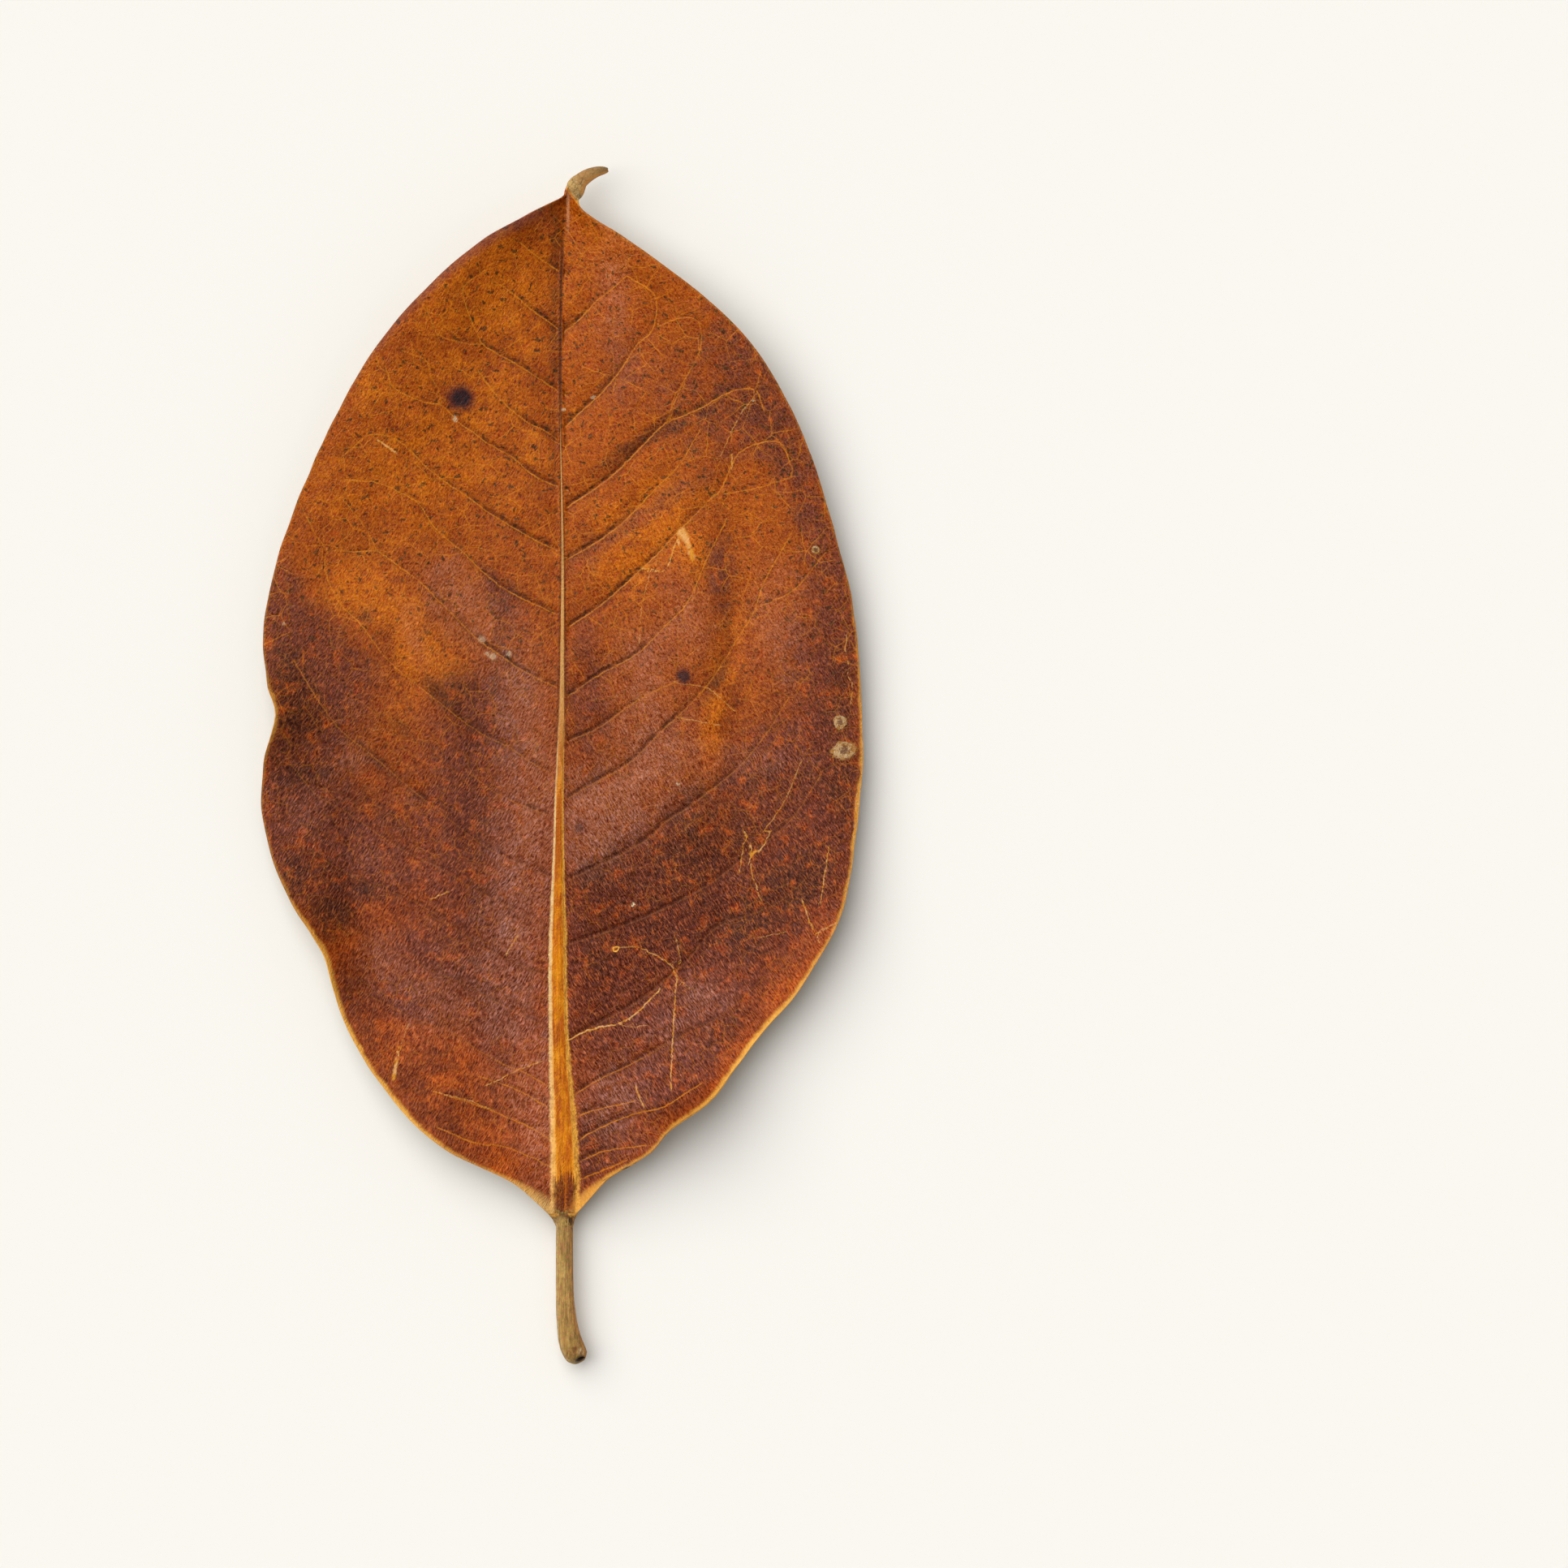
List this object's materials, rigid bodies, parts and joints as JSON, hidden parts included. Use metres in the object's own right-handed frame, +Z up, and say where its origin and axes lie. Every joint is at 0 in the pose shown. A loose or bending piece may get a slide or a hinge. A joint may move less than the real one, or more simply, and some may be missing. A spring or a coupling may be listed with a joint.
{
  "type": "dried magnolia leaf",
  "caption": "A dried magnolia leaf lying face up, with waved orange-brown blade, netted side veins, pale midrib, curved stalk and rolled tip.",
  "frame": {"origin": "bottom centre of the leaf's box, on the surface that it lies on", "axes": "+X to the right of the leaf, seen from above with the tip away from the viewer; +Y from the stalk to the tip, along the midrib; +Z up, out of the glossy upper face"},
  "size_m": [0.1063, 0.2113, 0.0122],
  "materials": {
    "leaf": "satin"
  },
  "bodies": {
    "root": {"magnolia_leaf": "leaf"}
  },
  "joints": []
}
